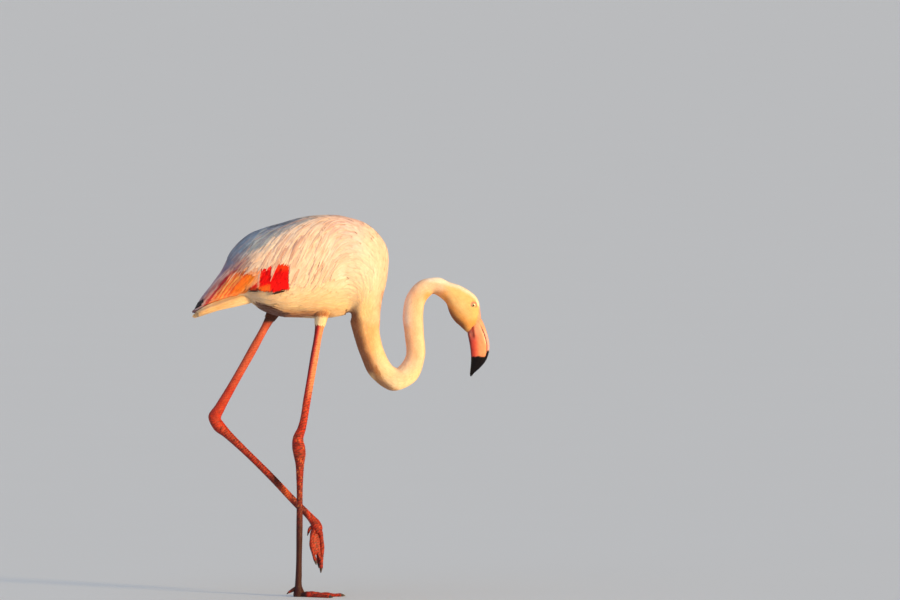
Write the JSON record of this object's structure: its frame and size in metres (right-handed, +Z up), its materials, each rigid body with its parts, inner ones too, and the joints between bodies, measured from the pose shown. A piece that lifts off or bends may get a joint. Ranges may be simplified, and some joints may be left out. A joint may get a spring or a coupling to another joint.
{
  "type": "greater flamingo",
  "caption": "Life-size still model of a wading greater flamingo, with its neck hooked down, its bent bill lowered and a leg raised behind.",
  "frame": {"origin": "on the ground, in the middle of the standing foot's sole, under the tarsus", "axes": "+X the way the bird faces, +Y its left side, +Z up"},
  "size_m": [0.5936, 0.1758, 0.7646],
  "materials": {
    "plumage": "soft matt contour feathers, creamy pinkish white",
    "wing_plumage": "matt flight feathers and coverts, rose to crimson with pale edges",
    "leg_skin": "scaly bare skin, orange-red, slightly wet",
    "bill_horn": "satin horn, coral pink with a black tip",
    "claw_horn": "dark satin horn",
    "eye": "clear wet cornea over a pale yellow iris"
  },
  "bodies": {
    "root": {"trunk": "plumage", "neck_1": "plumage", "neck_2": "plumage", "neck_3": "plumage", "neck_4": "plumage", "neck_5": "plumage", "neck_6": "plumage", "head": "plumage", "bill_upper": "bill_horn", "bill_lower": "bill_horn", "eye_right": "eye", "eye_left": "eye", "wing_right": "wing_plumage", "wing_left": "wing_plumage", "tail": "plumage", "thigh_right": "plumage", "thigh_left": "plumage", "shank_right": "leg_skin", "shank_left": "leg_skin", "tarsus_right": "leg_skin", "tarsus_left": "leg_skin", "foot_right": "leg_skin", "foot_left": "leg_skin", "claw_inner_right": "claw_horn", "claw_middle_right": "claw_horn", "claw_outer_right": "claw_horn", "claw_hind_right": "claw_horn", "claw_inner_left": "claw_horn", "claw_middle_left": "claw_horn", "claw_outer_left": "claw_horn", "claw_hind_left": "claw_horn"}
  },
  "joints": []
}
